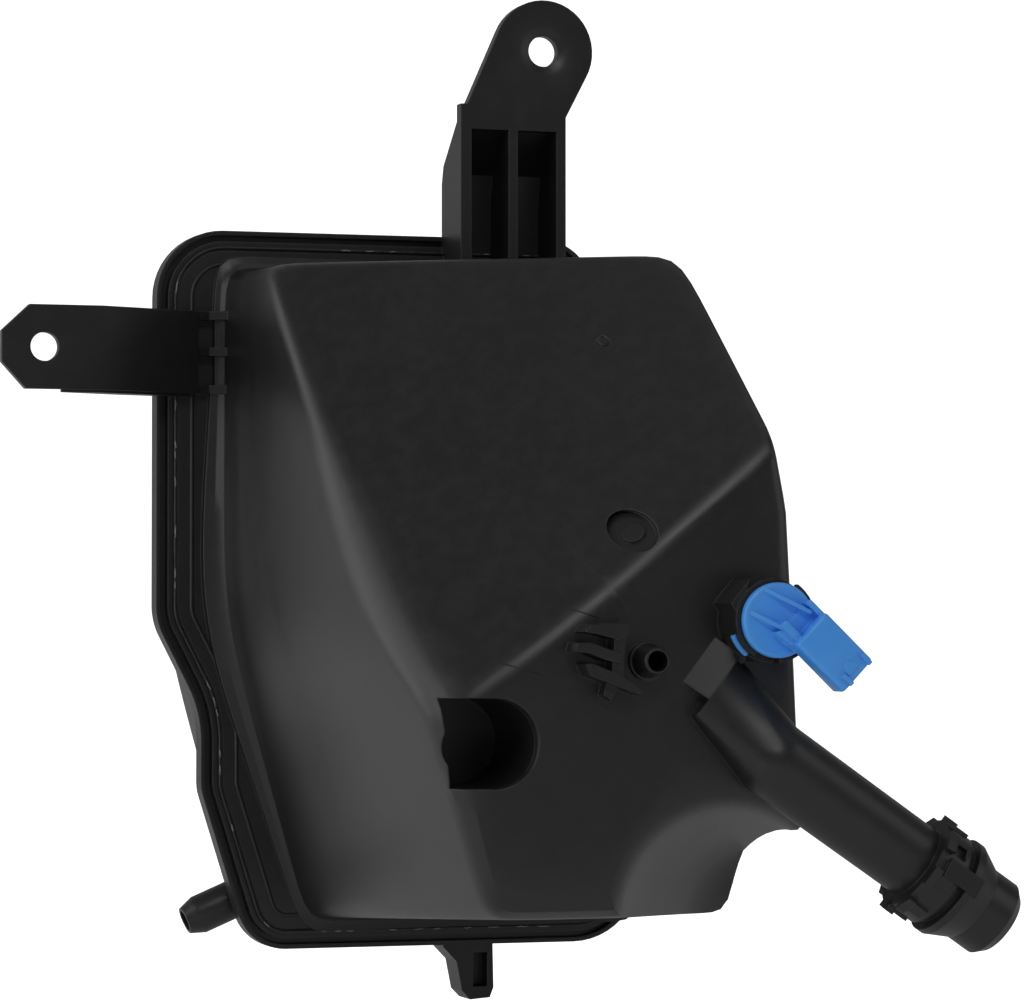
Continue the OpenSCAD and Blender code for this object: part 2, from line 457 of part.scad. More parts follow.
module sensor_housing() color([0.1, 0.36, 0.85]) inSensor() difference() {
  union() {
    translate([0, 0, 16.2]) cylinder(r = head_r, h = 2.3);
    translate([0, 0, 18.5]) cylinder(r1 = head_r, r2 = head_r - 0.6, h = 0.6);
    translate([0, 0, 6]) cylinder(r = sensor_bore_r - 0.08, h = 10.4);
    translate([0, 0, 3]) cylinder(r = 7, h = 3.2);
    translate([0, 0, 0.6]) cylinder(r = sensor_bore_r - 0.08, h = 2.6);
    translate([0, 0, -46]) cylinder(r = 6.8, h = 47);
    // bayonet lugs
    for (a = [lug_a, lug_a - 180]) sector(8, 14.4, 11, 13, a - 14, a + 18);
    // fork that carries the float
    for (x = [-6.4, 4]) {
      translate([x, -3.2, pivot]) cube([2.4, 6.4, 8]);
      translate([x, 0, pivot]) rotate([0, 90, 0]) cylinder(r = 3.2, h = 2.4);
    }
    // two ribs and a gusset on the head
    for (q = [[-4.6, 9.4, 10.6], [-9.8, 2.4, 12]]) translate([q[0], q[1], 18]) rotate([0, 0, -26.6]) translate([0, -0.7, 0]) cube([q[2], 1.4, 4]);
    translate([0, 0, 18]) linear_extrude(height = 5.2) polygon([[-2.5, -3.7], [2.2, -2.7], [6.5, -7.4], [2.8, -8.1]]);
    // arm of two bars with a window
    inConnector() {
      translate([-7, 3.4, 0]) cube([16, 2.2, 6.6]);
      translate([-8, -7.6, 0]) cube([17, 4, 6.6]);
      translate([-7, -7.6, 0]) cube([16, 13, 1.6]);
      // connector housing
      translate([4, -8, 0]) cube([20.5, 16, 9.4]);
      translate([16, -8, 9]) cube([8.5, 2, 2]);
      translate([16, 6, 9]) cube([8.5, 2, 2]);
      translate([18, 0, 9]) cylinder(r = 3, h = 1.8);
    }
  }
  // hollow for the reed switch
  translate([0, 0, -47]) cylinder(r = 1.5, h = 55);
  // socket, latch slots and the seats of the terminals
  inConnector() {
    translate([12, -6.2, 1.8]) cube([14, 12.4, 5.8]);
    translate([22, -3.4, 8.4]) cube([4, 6.8, 4]);
    for (y = [-2.9, 1.3]) translate([6, y, 4.2]) cube([9, 1.6, 0.8]);
  }
  // hole of the float pin
  translate([-8, 0, pivot]) rotate([0, 90, 0]) cylinder(r = 1.2, h = 16);
}
module terminal(y) color([0.8, 0.65, 0.3]) inSensor() inConnector() {
  translate([6, y, 4.2]) cube([11, 1.6, 0.8]);
  translate([17, y + 0.3, 4.2]) cube([1.6, 1, 0.8]);
}
module terminal_left() terminal(1.3);
module terminal_right() terminal(-2.9);
module reed_switch() color([0.7, 0.8, 0.75]) inSensor() {
  translate([0, 0, -43]) cylinder(r = 1.5, h = 14);
  translate([0, 0, -43]) sphere(r = 1.5);
  translate([0, 0, -29]) sphere(r = 1.5);
  translate([0, 0, -29]) cylinder(r = 0.4, h = 36);
}
module sensor_ring() color([0.12, 0.12, 0.12]) inSensor() translate([0, 0, 4.6])
  rotate_extrude() translate([7.85, 0]) circle(r = 0.85);
module sensor_float() color([0.2, 0.2, 0.2]) inSensor() difference() {
  union() {
    translate([0, 0, -91]) cylinder(r = 7.2, h = 31);
    translate([0, 0, -60]) cylinder(r1 = 7.2, r2 = 5.4, h = 3);
    translate([0, 0, -93]) cylinder(r1 = 5.8, r2 = 7.2, h = 2);
    translate([-3.7, -3, -58]) cube([7.4, 6, 6]);
    translate([-3.7, 0, pivot]) rotate([0, 90, 0]) cylinder(r = 3, h = 7.4);
  }
  translate([-8, 0, pivot]) rotate([0, 90, 0]) cylinder(r = 1.25, h = 16);
  translate([0, 10, -65]) rotate([90, 0, 0]) cylinder(r = 2.5, h = 9);
}
module float_magnet() color([0.45, 0.45, 0.47]) inSensor() translate([0, 6.6, -65]) rotate([90, 0, 0]) cylinder(r = 2.5, h = 5.6);
module float_pin() color([0.75, 0.75, 0.77]) inSensor() translate([-6.4, 0, pivot]) rotate([0, 90, 0]) cylinder(r = 1.2, h = 12.8);

// ---- pressure cap, in its own frame: z is 0 at the neck's top
module inCap() translate([neck_x, neck_y, neck_top]) children();
module cap_shell() color([0.07, 0.07, 0.08]) inCap() {
  rotate_extrude() polygon([[0, 12.5], [0, 15.5], [25, 15.5], [29.6, 12.6], [30, 11], [30, -19], [26.2, -19], [26.2, -1], [25.3, 0.1],
    [23.4, 0.6], [23.4, 1.6], [25, 1.8], [25, 5.9], [20, 5.9], [20, 12.5]]);
  for (a = [0 : 30 : 330]) rotate([0, 0, a]) translate([29.6, 0, -18]) cylinder(r = 1.7, h = 28);
  translate([-19, -2, 14]) cube([38, 4, 4]);
  ridge(26.5, 23.6, 2.6, 1, -14.5 + thread_lead * 0.5, 20, 40);
}
module cap_stopper() color([0.16, 0.16, 0.17]) inCap() difference() {
  rotate_extrude() polygon([[0, 3], [0, 5.9], [24.6, 5.9], [24.6, 2], [18.4, 2], [18.4, -6.4], [16.7, -6.4], [16.7, -9], [18.4, -9],
    [18.4, -15], [17.4, -16], [8.5, -16], [8.5, -13.5], [15, -13.5], [15, 3]]);
  for (a = [0 : 120 : 240]) rotate([0, 0, a]) translate([10, 0, 0]) cylinder(r = 1.6, h = 10);
}
module cap_gasket() color([0.1, 0.1, 0.1]) inCap() tube(19.4, 22.3, 0, 2);
module cap_ring() color([0.1, 0.1, 0.1]) inCap() translate([0, 0, -7.7]) rotate_extrude() translate([17.7, 0]) circle(r = 1);
module spring_retainer() color([0.7, 0.71, 0.72]) inCap() difference() {
  translate([0, 0, 1.4]) cylinder(r = 14.9, h = 1.6);
  translate([0, 0, 0]) cylinder(r = 5.4, h = 5);
  for (a = [0 : 120 : 240]) rotate([0, 0, a]) translate([10, 0, 0]) cylinder(r = 1.8, h = 6);
}
module relief_seal() color([0.1, 0.1, 0.1]) inCap() tube(8.9, 12, -13.5, -12.5);
module relief_plate() color([0.72, 0.72, 0.73]) inCap() difference() {
  union() {
    translate([0, 0, -12.5]) cylinder(r = 13, h = 1.6);
    translate([0, 0, -11]) cylinder(r = 7.4, h = 1.6);
  }
  translate([0, 0, -14]) cylinder(r = 2.6, h = 8);
}
module vacuum_disc() color([0.75, 0.62, 0.3]) inCap() {
  translate([0, 0, -14]) cylinder(r = 6.2, h = 1.5);
  translate([0, 0, -13]) cylinder(r = 2.3, h = 10.5);
  translate([0, 0, -3.6]) cylinder(r = 4.4, h = 1.2);
}
// coil spring between z0 and z1, its ends flattened inside the height
module coil(r, wr, z0, z1, turns, na, ns) {
  steps = turns * na;
  pts = [for (i = [0 : steps]) let (a = i * 360 / na, z = z0 + wr + (z1 - z0 - 2 * wr) * i / steps)
    for (j = [0 : ns - 1]) let (b = 360 * j / ns, q = r + wr * cos(b)) [q * cos(a), q * sin(a), z + wr * sin(b)]];
  e = ns * steps;
  polyhedron(points = pts, faces = concat(
    [for (i = [0 : steps - 1], j = [0 : ns - 1]) let (k = (j + 1) % ns) [ns * i + j, ns * i + ns + k, ns * i + ns + j]],
    [for (i = [0 : steps - 1], j = [0 : ns - 1]) let (k = (j + 1) % ns) [ns * i + j, ns * i + k, ns * i + ns + k]],
    [[for (j = [ns - 1 : -1 : 0]) j], [for (j = [0 : ns - 1]) e + j]]));
}
module relief_spring() color([0.75, 0.75, 0.77]) inCap() coil(9.6, 0.8, -10.9, 1.4, 4, 20, 6);
module vacuum_spring() color([0.75, 0.75, 0.77]) inCap() coil(3.4, 0.45, -9.4, -3.6, 3.5, 16, 5);

front_shell();
rear_shell();
sensor_housing();
terminal_left();
terminal_right();
reed_switch();
sensor_ring();
sensor_float();
float_magnet();
float_pin();
cap_shell();
cap_stopper();
cap_gasket();
cap_ring();
relief_plate();
relief_seal();
relief_spring();
vacuum_disc();
vacuum_spring();
spring_retainer();
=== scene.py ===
import math
import random

import bmesh
import bpy
from mathutils import Matrix, Vector, noise


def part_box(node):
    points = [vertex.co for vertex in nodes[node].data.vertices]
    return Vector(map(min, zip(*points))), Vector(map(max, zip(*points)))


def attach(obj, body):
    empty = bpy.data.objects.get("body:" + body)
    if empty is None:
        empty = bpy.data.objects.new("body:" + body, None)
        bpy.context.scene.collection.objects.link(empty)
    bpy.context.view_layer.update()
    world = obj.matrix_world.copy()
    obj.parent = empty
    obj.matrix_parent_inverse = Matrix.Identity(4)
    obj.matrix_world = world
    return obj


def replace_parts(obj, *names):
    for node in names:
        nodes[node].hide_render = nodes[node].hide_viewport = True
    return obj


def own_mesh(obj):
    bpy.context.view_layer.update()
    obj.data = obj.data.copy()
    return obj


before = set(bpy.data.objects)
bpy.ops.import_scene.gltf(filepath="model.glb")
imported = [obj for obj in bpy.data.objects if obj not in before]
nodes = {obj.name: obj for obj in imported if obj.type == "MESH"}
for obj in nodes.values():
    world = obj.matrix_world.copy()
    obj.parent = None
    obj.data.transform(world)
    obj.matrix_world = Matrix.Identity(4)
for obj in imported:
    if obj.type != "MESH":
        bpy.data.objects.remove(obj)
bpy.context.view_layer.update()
print("tank loaded:", len(nodes), "parts")

photoCamera = {
    "place": (-0.4723, -1.4187, -0.2005),
    "turn": -18.0,       # degrees, stands to the left of straight on
    "tilt": -1.5,        # degrees, looks slightly up
    "focal": 146.5,
    "sensor": 36.0,
    "clip": (0.05, 50),
}


def aimCamera(settings):
    turn = math.radians(settings["turn"])
    tilt = math.radians(settings["tilt"])
    right = Vector((math.cos(turn), math.sin(turn), 0))
    ahead = Vector((
        -math.sin(turn) * math.cos(tilt),
        math.cos(turn) * math.cos(tilt),
        -math.sin(tilt),
    ))
    up = right.cross(ahead)
    data = bpy.data.cameras.new("tankCamera")
    data.lens = settings["focal"]
    data.sensor_width = settings["sensor"]
    data.clip_start, data.clip_end = settings["clip"]
    camera = bpy.data.objects.new("tankCamera", data)
    axes = Matrix((right, up, -ahead)).transposed().to_4x4()
    camera.matrix_world = Matrix.Translation(settings["place"]) @ axes
    bpy.context.scene.collection.objects.link(camera)
    bpy.context.scene.camera = camera


aimCamera(photoCamera)
print("camera aimed")


# shader groups shared by the materials
def makeGroup(name, inputs, outputs):
    group = bpy.data.node_groups.new(name, "ShaderNodeTree")
    for socketName, kind, value in inputs:
        socket = group.interface.new_socket(socketName, in_out="INPUT", socket_type=kind)
        socket.default_value = value
    for socketName, kind in outputs:
        group.interface.new_socket(socketName, in_out="OUTPUT", socket_type=kind)
    start = group.nodes.new("NodeGroupInput")
    end = group.nodes.new("NodeGroupOutput")
    return group, start, end


def addNode(tree, kind, **values):
    node = tree.nodes.new(kind)
    for key, value in values.items():
        setattr(node, key, value)
    return node


def addMath(tree, operation, first, second, clampIt=False):
    node = addNode(tree, "ShaderNodeMath", operation=operation, use_clamp=clampIt)
    for index, value in enumerate((first, second)):
        if isinstance(value, (int, float)):
            node.inputs[index].default_value = value
        else:
            tree.links.new(value, node.inputs[index])
    return node.outputs[0]


def addNoise(tree, vector, detail, roughness):
    texture = addNode(tree, "ShaderNodeTexNoise")
    texture.inputs["Detail"].default_value = detail
    texture.inputs["Roughness"].default_value = roughness
    tree.links.new(vector, texture.inputs["Vector"])
    return texture


mouldGrainLook = {
    "scale": 900.0,
    "detail": 3,
    "roughness": 0.65,
    "cloudScale": 22.0,
    "cloudDetail": 4,
    "cloudRoughness": 0.55,
}


def makeMouldGrain(look):
    # fine spark texture of a moulding tool, and slow cloudy changes of gloss
    group, start, end = makeGroup(
        "mouldGrain",
        [("Scale", "NodeSocketFloat", look["scale"]),
         ("Cloud Scale", "NodeSocketFloat", look["cloudScale"])],
        [("Height", "NodeSocketFloat"), ("Cloud", "NodeSocketFloat")],
    )
    place = addNode(group, "ShaderNodeTexCoord").outputs["Object"]
    fine = addNoise(group, place, look["detail"], look["roughness"])
    cloud = addNoise(group, place, look["cloudDetail"], look["cloudRoughness"])
    group.links.new(start.outputs["Scale"], fine.inputs["Scale"])
    group.links.new(start.outputs["Cloud Scale"], cloud.inputs["Scale"])
    group.links.new(fine.outputs["Fac"], end.inputs["Height"])
    group.links.new(cloud.outputs["Fac"], end.inputs["Cloud"])
    return group


softEdgeLook = {
    "radius": 0.0007,
    "samples": 4,
    "gain": 6.0,
}


def makeSoftEdge(look):
    # the small radius of every moulded or stamped edge, and a mask of where it lies, which the materials
    # use to paint a highlight along edges
    group, start, end = makeGroup(
        "softEdge",
        [("Gain", "NodeSocketFloat", look["gain"])],
        [("Normal", "NodeSocketVector"), ("Edge", "NodeSocketFloat")],
    )
    bevel = addNode(group, "ShaderNodeBevel", samples=look["samples"])
    bevel.inputs["Radius"].default_value = look["radius"]
    geometry = addNode(group, "ShaderNodeNewGeometry")
    dot = addNode(group, "ShaderNodeVectorMath", operation="DOT_PRODUCT")
    group.links.new(bevel.outputs["Normal"], dot.inputs[0])
    group.links.new(geometry.outputs["Normal"], dot.inputs[1])
    away = addMath(group, "SUBTRACT", 1.0, dot.outputs["Value"], True)
    edge = addMath(group, "MULTIPLY", away, start.outputs["Gain"], True)
    group.links.new(edge, end.inputs["Edge"])
    group.links.new(bevel.outputs["Normal"], end.inputs["Normal"])
    return group


fineDustLook = {
    "amount": 0.2,
    "scale": 160.0,
    "detail": 6,
    "roughness": 0.7,
    "specks": (0.42, 0.75),     # noise values where dust starts and is full
    "upward": 0.6,              # more dust where the surface faces up
    "anywhere": 0.4,
}


def makeFineDust(look):
    # thin dust that settles on surfaces that face up
    group, start, end = makeGroup(
        "fineDust",
        [("Amount", "NodeSocketFloat", look["amount"]), ("Scale", "NodeSocketFloat", look["scale"])],
        [("Mask", "NodeSocketFloat")],
    )
    place = addNode(group, "ShaderNodeTexCoord").outputs["Object"]
    specks = addNoise(group, place, look["detail"], look["roughness"])
    group.links.new(start.outputs["Scale"], specks.inputs["Scale"])
    spread = addNode(group, "ShaderNodeMapRange")
    spread.inputs["From Min"].default_value = look["specks"][0]
    spread.inputs["From Max"].default_value = look["specks"][1]
    group.links.new(specks.outputs["Fac"], spread.inputs["Value"])
    geometry = addNode(group, "ShaderNodeNewGeometry")
    parts = addNode(group, "ShaderNodeSeparateXYZ")
    group.links.new(geometry.outputs["Normal"], parts.inputs[0])
    upward = addMath(group, "MULTIPLY_ADD", parts.outputs["Z"], look["upward"], True)
    upward.node.inputs[2].default_value = look["anywhere"]
    both = addMath(group, "MULTIPLY", spread.outputs["Result"], upward)
    mask = addMath(group, "MULTIPLY", both, start.outputs["Amount"], True)
    group.links.new(mask, end.inputs["Mask"])
    return group


mouldGrain = makeMouldGrain(mouldGrainLook)
softEdge = makeSoftEdge(softEdgeLook)
fineDust = makeFineDust(fineDustLook)
print("shader groups made")

# what a finish has unless it says otherwise
plainLook = {
    "metallic": 0.0,
    "ior": 1.5,
    "specular": 0.5,
    "clear": 0.0,
    "cloud": 22.0,
    "roughSpread": 0.06,
    # how far edges move towards the paler edge colour, a painted highlight
    "paintedEdgeHighlight": 0.5,
    "bump": 0.3,
    "bumpDepth": 0.00012,
    "dust": 0.1,
    "dustColour": (0.09, 0.088, 0.085),
    "dustDull": 0.5,
}


def makeMaterial(name, ownLook):
    look = {**plainLook, **ownLook}
    material = bpy.data.materials.new(name)
    material.use_nodes = True
    tree = material.node_tree
    shader = tree.nodes["Principled BSDF"]
    shader.inputs["Metallic"].default_value = look["metallic"]
    shader.inputs["IOR"].default_value = look["ior"]
    shader.inputs["Specular IOR Level"].default_value = look["specular"]
    shader.inputs["Transmission Weight"].default_value = look["clear"]
    grain = addNode(tree, "ShaderNodeGroup", node_tree=mouldGrain)
    grain.inputs["Scale"].default_value = look["grain"]
    grain.inputs["Cloud Scale"].default_value = look["cloud"]
    edge = addNode(tree, "ShaderNodeGroup", node_tree=softEdge)
    dust = addNode(tree, "ShaderNodeGroup", node_tree=fineDust)
    dust.inputs["Amount"].default_value = look["dust"]
    # colour: two close shades by the slow cloud, a painted highlight on edges, and paler under dust
    shades = addNode(tree, "ShaderNodeMix", data_type="RGBA")
    shades.inputs["A"].default_value = (*look["dark"], 1)
    shades.inputs["B"].default_value = (*look["pale"], 1)
    tree.links.new(grain.outputs["Cloud"], shades.inputs["Factor"])
    # painted highlight: every edge turns towards the paler edge colour
    withEdgeHighlight = addNode(tree, "ShaderNodeMix", data_type="RGBA")
    withEdgeHighlight.inputs["B"].default_value = (*look["edge"], 1)
    tree.links.new(shades.outputs["Result"], withEdgeHighlight.inputs["A"])
    paintedEdgeHighlight = addMath(tree, "MULTIPLY", edge.outputs["Edge"], look["paintedEdgeHighlight"])
    tree.links.new(paintedEdgeHighlight, withEdgeHighlight.inputs["Factor"])
    dusty = addNode(tree, "ShaderNodeMix", data_type="RGBA")
    dusty.inputs["B"].default_value = (*look["dustColour"], 1)
    tree.links.new(withEdgeHighlight.outputs["Result"], dusty.inputs["A"])
    tree.links.new(dust.outputs["Mask"], dusty.inputs["Factor"])
    tree.links.new(dusty.outputs["Result"], shader.inputs["Base Color"])
    # gloss: the cloud and the dust both move it a little
    gloss = addNode(tree, "ShaderNodeMapRange")
    gloss.inputs["To Min"].default_value = look["rough"] - look["roughSpread"]
    gloss.inputs["To Max"].default_value = look["rough"] + look["roughSpread"]
    tree.links.new(grain.outputs["Cloud"], gloss.inputs["Value"])
    dull = addMath(tree, "MULTIPLY", dust.outputs["Mask"], look["dustDull"])
    tree.links.new(addMath(tree, "ADD", gloss.outputs["Result"], dull, True), shader.inputs["Roughness"])
    bump = addNode(tree, "ShaderNodeBump")
    bump.inputs["Strength"].default_value = look["bump"]
    bump.inputs["Distance"].default_value = look["bumpDepth"]
    tree.links.new(grain.outputs["Height"], bump.inputs["Height"])
    tree.links.new(edge.outputs["Normal"], bump.inputs["Normal"])
    tree.links.new(bump.outputs["Normal"], shader.inputs["Normal"])
    return material


finishes = {
    # each finish's edge colour is a painted highlight along its edges
    "satinBlack": {
        "dark": (0.0085, 0.0085, 0.0095), "pale": (0.0125, 0.0125, 0.0135), "edge": (0.03, 0.03, 0.032),
        "rough": 0.36, "grain": 1500.0, "bump": 0.25, "dust": 0.12},
    "sensorBlue": {
        "dark": (0.068, 0.35, 0.95), "pale": (0.085, 0.39, 0.99), "edge": (0.16, 0.5, 1.0),
        "rough": 0.34, "grain": 1800.0, "bump": 0.12, "dust": 0.02, "cloud": 60.0},
    "floatGrey": {
        "dark": (0.045, 0.045, 0.045), "pale": (0.07, 0.07, 0.07), "edge": (0.1, 0.1, 0.1),
        "rough": 0.7, "grain": 700.0, "bump": 0.6, "dust": 0.0},
    "insertGrey": {
        "dark": (0.03, 0.03, 0.034), "pale": (0.045, 0.045, 0.05), "edge": (0.08, 0.08, 0.085),
        "rough": 0.5, "grain": 1500.0, "dust": 0.0},
    "sealRubber": {
        "dark": (0.009, 0.009, 0.009), "pale": (0.014, 0.014, 0.014), "edge": (0.025, 0.025, 0.025),
        "rough": 0.62, "grain": 1200.0, "bump": 0.25},
    "contactBrass": {
        "dark": (0.62, 0.42, 0.16), "pale": (0.75, 0.56, 0.26), "edge": (0.9, 0.75, 0.45),
        "rough": 0.28, "grain": 2500.0, "bump": 0.1, "metallic": 1.0, "dust": 0.0},
    "springSteel": {
        "dark": (0.42, 0.42, 0.43), "pale": (0.56, 0.56, 0.57), "edge": (0.75, 0.75, 0.75),
        "rough": 0.3, "grain": 2600.0, "bump": 0.15, "metallic": 1.0, "dust": 0.0},
    # pale grey: a painted glint on the flecks of weld flash
    "flashPaintedGlint": {
        "dark": (0.12, 0.12, 0.12), "pale": (0.3, 0.3, 0.3), "edge": (0.5, 0.5, 0.5),
        "rough": 0.35, "grain": 900.0, "bump": 0.5, "dust": 0.0},
    "magnetGrey": {
        "dark": (0.11, 0.11, 0.12), "pale": (0.17, 0.17, 0.18), "edge": (0.3, 0.3, 0.3),
        "rough": 0.5, "grain": 1500.0, "metallic": 0.7, "dust": 0.0},
    "switchGlass": {     # thin soda glass, slightly green
        "dark": (0.55, 0.78, 0.66), "pale": (0.65, 0.85, 0.75), "edge": (0.8, 0.9, 0.85),
        "rough": 0.08, "roughSpread": 0.03, "grain": 300.0, "bump": 0.05, "dust": 0.0, "clear": 0.75},
}
materials = {name: makeMaterial(name, look) for name, look in finishes.items()}
print("finishes mixed:", len(materials))

nodeFinish = {
    "front_shell": "satinBlack", "rear_shell": "satinBlack", "cap_shell": "satinBlack",
    "sensor_housing": "sensorBlue", "terminal_left": "contactBrass", "terminal_right": "contactBrass",
    "reed_switch": "switchGlass", "sensor_ring": "sealRubber", "sensor_float": "floatGrey",
    "float_magnet": "magnetGrey", "float_pin": "springSteel", "cap_stopper": "insertGrey",
    "cap_gasket": "sealRubber", "cap_ring": "sealRubber", "relief_plate": "springSteel",
    "relief_seal": "sealRubber", "relief_spring": "springSteel", "vacuum_disc": "contactBrass",
    "vacuum_spring": "springSteel", "spring_retainer": "springSteel",
}

shading = {
    "sharpAngle": 24,        # degrees, edges sharper than this stay crisp
    "weldDistance": 0.00001,
}


def makeSmoothing(settings):
    # welds a solid's facets, then shades curves smooth and edges sharp
    group = bpy.data.node_groups.new("smoothByAngle", "GeometryNodeTree")
    group.interface.new_socket("Geometry", in_out="INPUT", socket_type="NodeSocketGeometry")
    angle = group.interface.new_socket("Angle", in_out="INPUT", socket_type="NodeSocketFloat")
    angle.default_value = math.radians(settings["sharpAngle"])
    group.interface.new_socket("Geometry", in_out="OUTPUT", socket_type="NodeSocketGeometry")
    start = group.nodes.new("NodeGroupInput")
    end = group.nodes.new("NodeGroupOutput")
    weld = group.nodes.new("GeometryNodeMergeByDistance")
    weld.inputs["Distance"].default_value = settings["weldDistance"]
    faces = group.nodes.new("GeometryNodeSetShadeSmooth")
    edges = group.nodes.new("GeometryNodeSetShadeSmooth")
    edges.domain = "EDGE"
    edges.inputs["Shade Smooth"].default_value = False
    edgeAngle = group.nodes.new("GeometryNodeInputMeshEdgeAngle")
    sharp = group.nodes.new("FunctionNodeCompare")
    sharp.operation = "GREATER_THAN"
    group.links.new(start.outputs["Geometry"], weld.inputs["Geometry"])
    group.links.new(weld.outputs["Geometry"], faces.inputs["Geometry"])
    group.links.new(faces.outputs["Geometry"], edges.inputs["Geometry"])
    group.links.new(edgeAngle.outputs["Unsigned Angle"], sharp.inputs["A"])
    group.links.new(start.outputs["Angle"], sharp.inputs["B"])
    group.links.new(sharp.outputs["Result"], edges.inputs["Selection"])
    group.links.new(edges.outputs["Geometry"], end.inputs["Geometry"])
    return group


smoothing = makeSmoothing(shading)
for nodeName, solid in nodes.items():
    finish = materials[nodeFinish[nodeName]]
    for slot in solid.material_slots:
        slot.material = finish
    if not solid.material_slots:
        solid.data.materials.append(finish)
    solid.modifiers.new("smoothByAngle", "NODES").node_group = smoothing
print("finishes on", len(nodes), "parts")

edgeRounding = {
    "segments": 3,
    "fromAngle": 32,        # degrees
}


# helpers for the pieces made here in finer detail than the solids
def addPiece(name, points, faces, finish, body, edgeRadius=0.0):
    mesh = bpy.data.meshes.new(name)
    mesh.from_pydata(points, [], faces)
    work = bmesh.new()
    work.from_mesh(mesh)
    bmesh.ops.recalc_face_normals(work, faces=work.faces)
    work.to_mesh(mesh)
    work.free()
    piece = bpy.data.objects.new(name, mesh)
    bpy.context.scene.collection.objects.link(piece)
    mesh.materials.append(materials[finish])
    if edgeRadius:
        rounded = piece.modifiers.new("edgeRadius", "BEVEL")
        rounded.width = edgeRadius
        rounded.segments = edgeRounding["segments"]
        rounded.limit_method = "ANGLE"
        rounded.angle_limit = math.radians(edgeRounding["fromAngle"])
    piece.modifiers.new("smoothByAngle", "NODES").node_group = smoothing
    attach(piece, body)
    return piece


def addShell(points, faces, rings):
    # skins a row of equal rings and closes both ends
    first = len(points)
    count = len(rings[0])
    for ring in rings:
        points += ring
    for row in range(len(rings) - 1):
        for i in range(count):
            j = (i + 1) % count
            a = first + row * count
            faces.append((a + i, a + j, a + count + j, a + count + i))
    last = first + (len(rings) - 1) * count
    faces.append(tuple(range(first + count - 1, first - 1, -1)))
    faces.append(tuple(range(last, last + count)))


def anglesRound(count):
    return [math.tau * i / count for i in range(count)]


levelSensor = {
    # lengths in millimetres, angles in degrees; heights are ahead of the tank's flat face
    "centre": (12.0, -204.0),     # x and z of the bayonet axis
    "front": -181.0,              # y of the tank's flat face
    "sides": 72,
    "stemRadius": 6.8,
    "stemEnd": -46,
    "switchBore": 1.5,
    "boreEnd": 8,
    "fitRadius": 8.92,
    "fit": (0.6, 16.2),
    "grooveRadius": 7,
    "groove": (3.2, 6),
    "headRadius": 11.9,
    # inset from the head's radius, and height, up its edge and over its rim
    "headEdge": [(0.25, 16.2), (0, 16.45), (0, 18.3), (0.25, 18.85),
                 (0.8, 19.1), (1.6, 19.1), (1.9, 18.9)],
    "headMiddle": (0.4, 18.9),
    "lugAngles": (214, 34),
    "lugSweep": (-14, 32),        # where a lug starts from its angle, and how far it goes
    "lugRadii": (8, 14.4),
    "lugHeights": (11, 13),
    "pivot": -52.0,               # float pin, along the axis
    "forkStarts": (-6.4, 4.0),
    "forkThick": 2.4,
    "forkRadius": 3.2,
    "forkTop": -44.5,
    # a rib a row: start across and up, length, height at its start and at its end
    "ribs": [(-4.6, 9.4, 15.6, 19.6, 23.0), (-9.8, 2.4, 12.6, 19.6, 22.6)],
    "ribLean": -26.6,
    "ribHalf": 0.65,
    "ribSwell": (0.6, 0.5),       # where it swells, as a share, and its height above the mean there
    "ribFoot": 18,
    "gusset": [(-2.5, -3.7), (2.2, -2.7), (6.5, -7.4), (2.8, -8.1)],
    "gussetTop": 22.4,
    # bars to the plug, in the plug's own directions: from and to along, across and up
    "bars": [(-7.6, 0, 4.4, 6.2, 1.8, 7.2), (-9.0, 0, -6.6, -4.2, 1.8, 7.2),
             (-7.0, 0, -4.6, 4.8, 1.6, 3.4)],
    "plugTurn": -43.6,
    "plugPlace": (10.0, -3.2, 16.6),
    "plugEnds": (-1.8, 19.9),
    "plugMiddle": (-0.8, 4.7),
    "plugHalf": (7.2, 4.7),
    "socketHalf": (5.7, 3.1),
    "socketFloor": 8.0,
    "cornerSteps": 4,
    # distance in from that end, inset and corner radius
    "plugBack": [(0, 1.0, 0.9), (0.3, 0.3, 1.3), (1.0, 0, 1.6)],
    "plugFront": [(0.5, 0, 1.6), (0.15, 0.15, 1.5), (0, 0.5, 1.3)],
    "socketLip": [(0, 0.35, 1.0), (0.35, 0, 0.8)],
    "cheeks": (3.9, -5.1),
    "cheekWidth": 1.5,
    "cheekReach": (4.2, 0.1),     # behind and ahead of the plug's mouth
    "cheekHeights": (9.0, 10.6),
    "stopRadius": 2.3,
    "stopPlace": (3.6, 2.4),      # its centre and its flat side, behind the mouth
    "stopHeights": (9.0, 10.0),
    "edgeRadius": 0.00028,        # metres
}


